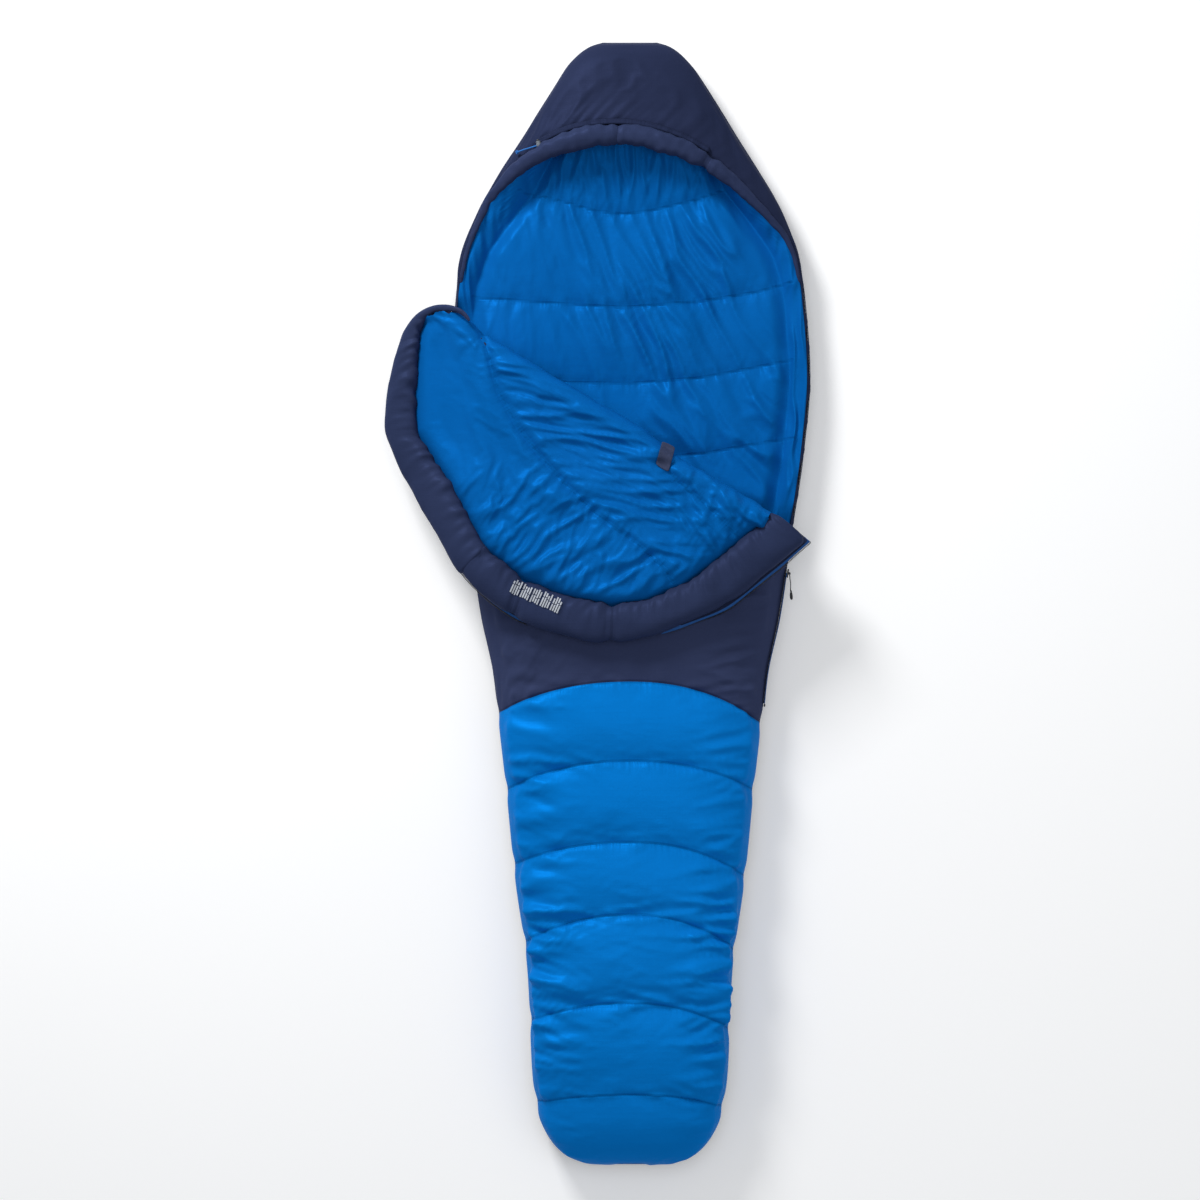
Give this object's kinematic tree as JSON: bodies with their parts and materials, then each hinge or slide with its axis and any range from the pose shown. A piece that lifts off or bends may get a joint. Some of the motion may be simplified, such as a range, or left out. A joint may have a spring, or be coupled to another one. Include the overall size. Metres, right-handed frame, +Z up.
{
  "type": "mummy sleeping bag",
  "caption": "Padded mummy sleeping bag with a hood, unzipped, its front folded over along a diagonal to open the bed.",
  "frame": {"origin": "on the floor under the middle of the bounding box", "axes": "+Y from foot to hood, +Z up, +X toward the zip side of the bag"},
  "size_m": [0.8096, 2.134, 0.1752],
  "materials": {
    "shell_navy": "satin ripstop nylon",
    "shell_blue": "satin ripstop nylon",
    "lining_blue": "soft satin taffeta",
    "padding": "matt synthetic fibre fill",
    "webbing_navy": "woven ribbon",
    "zip_tape": "woven zip tape",
    "zip_coil": "nylon coil",
    "zip_metal": "dark painted zinc",
    "cord_blue": "braided cord",
    "cord_dark": "braided cord",
    "lock_grey": "moulded nylon",
    "lock_dark": "moulded nylon",
    "pull_rubber": "moulded rubber",
    "print_grey": "screen print"
  },
  "bodies": {
    "bag": {"back_shell": "shell_navy", "back_insulation": "padding", "back_lining": "lining_blue", "footbox_shell": "shell_blue", "footbox_insulation": "padding", "leg_shell": "shell_blue", "leg_insulation": "padding", "chest_shell": "shell_navy", "chest_insulation": "padding", "front_lining": "lining_blue", "wall_shell_left": "shell_navy", "wall_insulation_left": "padding", "wall_lining_left": "lining_blue", "wall_shell_right": "shell_navy", "wall_insulation_right": "padding", "wall_lining_right": "lining_blue", "hood_shell": "shell_navy", "hood_insulation": "padding", "hood_lining": "lining_blue", "hood_rim_left": "shell_navy", "hood_rim_right": "shell_navy", "drawcord_channel": "shell_navy", "drawcord_tail": "cord_blue", "zip_tape_back": "zip_tape", "zip_coil_back": "zip_coil", "zip_tape_front": "zip_tape", "zip_bottom_stop": "zip_coil", "fold_roll": "lining_blue"},
    "flap": {"flap_shell": "shell_navy", "flap_insulation": "padding", "flap_lining": "lining_blue", "neck_tube": "shell_navy", "draft_tube": "shell_navy", "zip_tape_flap": "zip_tape", "zip_coil_flap": "zip_coil", "care_patch": "print_grey", "lining_tab": "webbing_navy"},
    "zip_slider": {"zip_slider": "zip_metal"},
    "zip_pull": {"zip_pull_tab": "zip_metal", "zip_pull_cord": "cord_dark", "zip_pull_tip": "pull_rubber"},
    "cord_lock": {"cord_lock_body": "lock_grey"},
    "lock_button": {"cord_lock_button": "lock_dark"}
  },
  "joints": [
    {"name": "flap_fold", "type": "hinge", "parent": "bag", "child": "flap", "pos_m": [-0.262, 0.554, 0.104], "axis": [-0.8353, 0.5487, -0.0344], "range_deg": [0, 178], "deforming": ["fold_roll"]},
    {"name": "zip_slide", "type": "slide", "parent": "bag", "child": "zip_slider", "axis": [0.1496, 0.9887, 0], "range_m": [-0.19, 0.27]},
    {"name": "zip_pull_swing", "type": "hinge", "parent": "zip_slider", "child": "zip_pull", "pos_m": [0.36332, 0.0568, 0.05], "axis": [0, 0, 1], "range_deg": [-8, 150]},
    {"name": "cord_lock_slide", "type": "slide", "parent": "bag", "child": "cord_lock", "axis": [-0.9205, -0.2501, -0.3002], "range_m": [0, 0.024]},
    {"name": "cord_lock_press", "type": "slide", "parent": "cord_lock", "child": "lock_button", "axis": [0.2622, -0.965, 0], "range_m": [0, 0.003], "stiffness_N_per_m": 300}
  ]
}
